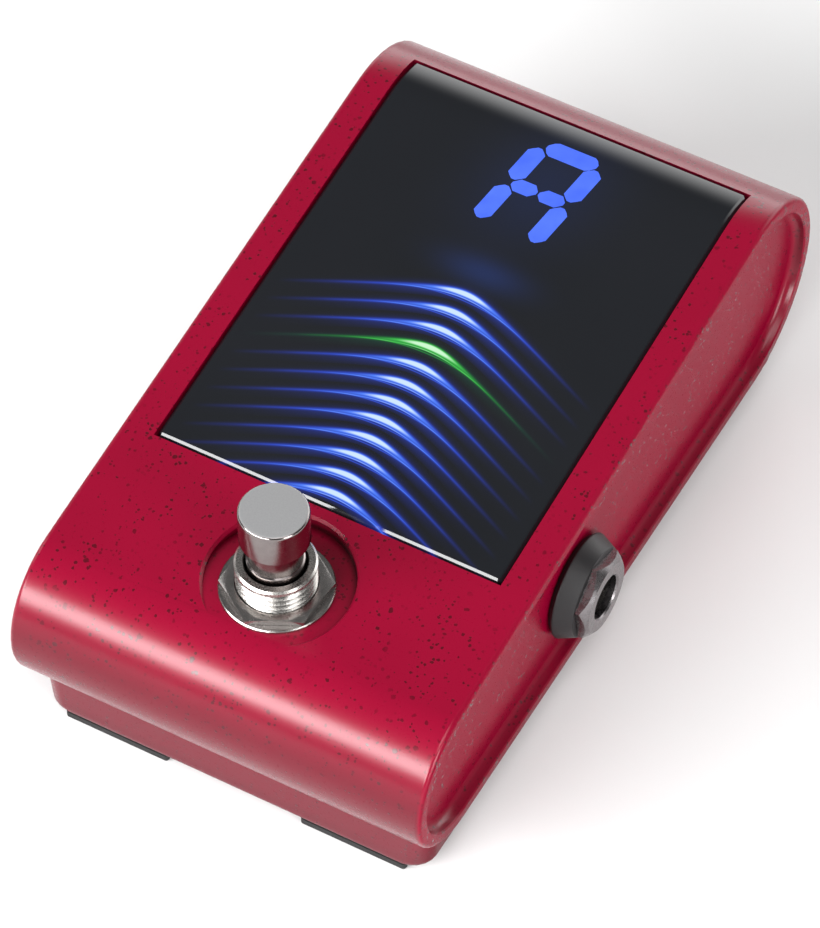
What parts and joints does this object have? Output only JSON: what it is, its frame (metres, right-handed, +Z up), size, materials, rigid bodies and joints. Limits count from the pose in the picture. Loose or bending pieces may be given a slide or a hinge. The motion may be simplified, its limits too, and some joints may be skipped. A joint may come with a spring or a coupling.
{
  "type": "floor pedal tuner",
  "caption": "Wedge-shaped metal floor tuner for instruments, with a curved dark display, a threaded footswitch in a round recess and a jack socket on each side.",
  "frame": {"origin": "centre of the bounding box in plan, at the feet's lower face", "axes": "+X to the player's right, across the case from jack to jack; +Y from the low footswitch end to the tall rear end; +Z up"},
  "size_m": [0.0718, 0.1174, 0.0481],
  "materials": {
    "red_paint": "satin-gloss crimson enamel on die-cast metal, with sparse fine specks and pits",
    "black_plastic": "moulded black, lightly textured",
    "dark_steel": "dark plated steel with bright worn edges",
    "rubber": "matte black rubber",
    "lens_acrylic": "smoked glossy acrylic, bevelled edge",
    "diffuser_plastic": "milky white light-spreading sheet",
    "board_green": "green solder mask over glass-fibre board",
    "nickel": "nickel plate, turned, lightly scuffed",
    "spring_steel": "drawn spring wire",
    "tin": "tinned sheet metal",
    "battery_sleeve": "plain printed foil sleeve",
    "lead_red": "insulated wire, red sleeve",
    "lead_black": "insulated wire, black sleeve"
  },
  "bodies": {
    "case": {"upper_housing": "red_paint", "lower_case": "red_paint", "battery_snap": "black_plastic", "input_jack_body": "black_plastic", "output_jack_body": "black_plastic", "input_jack_collar": "black_plastic", "output_jack_collar": "black_plastic", "dc_jack_body": "black_plastic", "case_screw_front_left": "dark_steel", "case_screw_front_right": "dark_steel", "case_screw_rear_left": "dark_steel", "case_screw_rear_right": "dark_steel", "input_jack_nut": "dark_steel", "output_jack_nut": "dark_steel", "foot_front_left": "rubber", "foot_front_right": "rubber", "foot_rear_left": "rubber", "foot_rear_right": "rubber", "display_lens": "lens_acrylic", "light_diffuser": "diffuser_plastic", "display_board": "board_green", "main_board": "board_green", "rear_board": "board_green", "footswitch_bushing": "nickel", "footswitch_inner_nut": "nickel", "footswitch_washer": "nickel", "footswitch_nut": "nickel", "input_jack_ferrule": "nickel", "output_jack_ferrule": "nickel", "dc_jack_pin": "nickel", "footswitch_body": "tin", "footswitch_lug_left": "tin", "footswitch_lug_right": "tin", "input_jack_contact": "tin", "output_jack_contact": "tin", "calibration_button_switch": "tin", "display_button_switch": "tin", "battery": "battery_sleeve", "battery_lead_red": "lead_red", "battery_lead_black": "lead_black"},
    "footswitch_press": {"footswitch_plunger": "nickel", "footswitch_spring": "spring_steel"},
    "calibration_button": {"calibration_button": "black_plastic"},
    "display_button": {"display_button": "black_plastic"},
    "battery_hatch": {"battery_door": "black_plastic"}
  },
  "joints": [
    {"name": "footswitch_travel", "type": "slide", "parent": "case", "child": "footswitch_press", "axis": [0, 0, -1], "range_m": [0, 0.0025], "stiffness_N_per_m": 3000, "springref_m": -0.001, "deforming": ["footswitch_spring"]},
    {"name": "calibration_press", "type": "slide", "parent": "case", "child": "calibration_button", "axis": [0, -1, 0], "range_m": [0, 0.0005], "stiffness_N_per_m": 800, "springref_m": -0.0005},
    {"name": "display_press", "type": "slide", "parent": "case", "child": "display_button", "axis": [0, -1, 0], "range_m": [0, 0.0005], "stiffness_N_per_m": 800, "springref_m": -0.0005},
    {"name": "hatch_hinge", "type": "hinge", "parent": "case", "child": "battery_hatch", "pos_m": [0, 0.0039, 0.0019], "axis": [-1, 0, 0], "range_deg": [0, 95]}
  ]
}
